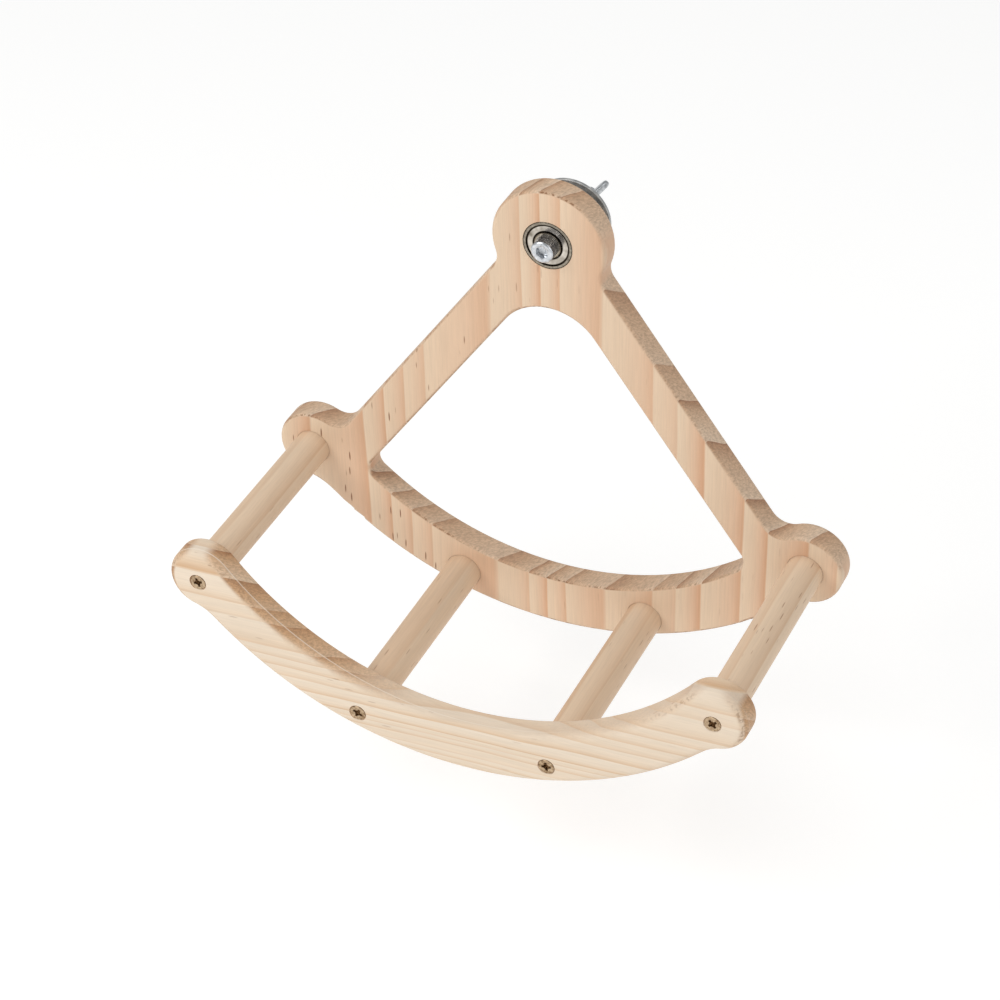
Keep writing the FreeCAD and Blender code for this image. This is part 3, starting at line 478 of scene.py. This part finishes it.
thread.to_mesh(spun)
thread.free()
bm.from_mesh(spun)
bpy.data.meshes.remove(spun)
bmesh.ops.rotate(bm, verts=bm.verts, matrix=Matrix.Rotation(math.radians(-90), 3, "X"))
bmesh.ops.translate(bm, verts=bm.verts, vec=(0, bolt_low.y + HEAD_HEIGHT, 0))
new_piece("cap_bolt", bm, "cage_bolt", "zinc_steel", ["clamp_bolt"], bright_zinc, knurl_zinc)

# ---------------------------------------------------------------- sleeve and lock nut
# A thin steel sleeve fills the bearing's bore, and a nylon-collar lock nut clamps the inner ring.

paint(bright_zinc, "bolt_sleeve", "lock_nut")

# ---------------------------------------------------------------- clamp washers and wing nut
# Two stamped zinc-plated washers grip the cage bars, and a cast wing nut tightens them.

grey_zinc = plated("Dull zinc plate on stamped steel", ("#A3A4A3", "#D2D2D0"), (0.45, 0.62), 3.0, 0.02)
paint(grey_zinc, "inner_clamp_washer", "outer_clamp_washer")
cast_zinc = plated("Zinc-plated cast iron", ("#9DA1A4", "#D6D9DB"), (0.3, 0.5), 1.5, 0.04)

# the casting has soft corners and blends where its wings meet the hub, and its bore is machined
VOXEL, SMOOTHINGS = 0.25 * MM, 8
BORE_RADIUS, BORE_REACH = 3.05 * MM, 3.8 * MM
bm = bmesh.new()
bm.from_mesh(nodes["wing_nut"].data)
bmesh.ops.remove_doubles(bm, verts=bm.verts, dist=0.001 * MM)
sharp = bpy.data.meshes.new("sharp")
bm.to_mesh(sharp)
bm.free()
mould = bpy.data.objects.new("mould", sharp)
bpy.context.scene.collection.objects.link(mould)
remesh = mould.modifiers.new("remesh", "REMESH")
remesh.mode, remesh.voxel_size = "VOXEL", VOXEL
cast = bpy.data.meshes.new_from_object(mould.evaluated_get(bpy.context.evaluated_depsgraph_get()))
bpy.data.objects.remove(mould)
bm = bmesh.new()
bm.from_mesh(cast)
bpy.data.meshes.remove(cast)
for _ in range(SMOOTHINGS):
    bmesh.ops.smooth_vert(bm, verts=bm.verts, factor=0.5, use_axis_x=True, use_axis_y=True,
                          use_axis_z=True)
for vert in bm.verts:
    reach = math.hypot(vert.co.x, vert.co.z)
    if reach < BORE_REACH:
        vert.co.x *= BORE_RADIUS / reach
        vert.co.z *= BORE_RADIUS / reach
new_piece("cast_wing_nut", bm, "wing_nut", "zinc_steel", ["wing_nut"], cast_zinc, angle=60)

# ---------------------------------------------------------------- floor, light and camera
# A plain white floor lies below the hanging swing. Large soft lights stand at the front left, at the
# front right and overhead.

FLOOR_RADIUS, FLOOR_DROP, CAMERA_DISTANCE = 12, 0.06, 1.3078
low, high = cad_box
centre = (low + high) / 2

bm = bmesh.new()
bmesh.ops.create_circle(bm, cap_ends=True, segments=96, radius=FLOOR_RADIUS)
bmesh.ops.translate(bm, verts=bm.verts, vec=(0, 0, low.z - FLOOR_DROP))
floor_mesh = bpy.data.meshes.new("floor")
bm.to_mesh(floor_mesh)
bm.free()
floor = bpy.data.objects.new("floor", floor_mesh)
bpy.context.scene.collection.objects.link(floor)
paper = new_material("Matt white paper")
paper_where = add(paper, "TexCoord")
paper_grain = add(paper, "TexNoise", {"Scale": 400.0, "Detail": 2.0},
                  {"Vector": paper_where.outputs["Object"]})
paper_tone = add(paper, "ValToRGB", {"stops": [(0.0, "#C9C9C8"), (1.0, "#CCCCCB")]}, {"Fac": paper_grain})
paper_shader = add(paper, "BsdfPrincipled", {"Roughness": 0.9, "Emission Color": srgb("#FFFFFF"),
                                             "Emission Strength": 0.53, "Specular IOR Level": 0.1},
                   {"Base Color": paper_tone})
add(paper, "OutputMaterial", links={"Surface": paper_shader})
floor_mesh.materials.append(paper)

# the studio's walls give an even half light, and are seen as white as the floor
world = bpy.data.worlds.new("Studio")
world.use_nodes = True
world.node_tree.nodes.clear()
sight = add(world, "LightPath")
walls = add(world, "MapRange", {"To Min": 0.48, "To Max": 1.0}, {"Value": sight.outputs["Is Camera Ray"]})
glow = add(world, "Background", {"Color": srgb("#FFFFFF")}, {"Strength": walls})
add(world, "OutputWorld", links={"Surface": glow})
bpy.context.scene.world = world

for name, direction, distance, size, power in (
        ("key", (-0.50, -0.62, 0.60), 1.4, 0.9, 8.4),
        ("fill", (0.75, -0.55, 0.35), 1.6, 1.2, 3.0),
        ("top", (0.1, 0.15, 1.0), 1.4, 1.2, 4.0)):
    lamp = bpy.data.lights.new(name, "AREA")
    lamp.shape, lamp.size, lamp.energy = "DISK", size, power
    stand = bpy.data.objects.new(name, lamp)
    away = Vector(direction).normalized()
    stand.location = centre + away * distance
    stand.rotation_euler = (-away).to_track_quat("-Z", "Y").to_euler()
    bpy.context.scene.collection.objects.link(stand)

azimuth, elevation, roll = math.radians(25.56), math.radians(36.89), math.radians(-1.66)
aim = centre + Vector((-0.0071, -0.0100, -0.0180))
back = Vector((math.sin(azimuth) * math.cos(elevation), -math.cos(azimuth) * math.cos(elevation),
               math.sin(elevation)))
right = Vector((math.cos(azimuth), math.sin(azimuth), 0))
turned = Matrix((right, back.cross(right), back)).transposed() @ Matrix.Rotation(roll, 3, "Z")
lens = bpy.data.cameras.new("camera")
lens.lens, lens.sensor_width = 113.5, 36
lens.shift_x, lens.shift_y = 0.00387, 0.00059
camera = bpy.data.objects.new("camera", lens)
camera.matrix_world = Matrix.Translation(aim + back * CAMERA_DISTANCE) @ turned.to_4x4()
bpy.context.scene.collection.objects.link(camera)
bpy.context.scene.camera = camera
bpy.context.scene.view_settings.view_transform = "Standard"
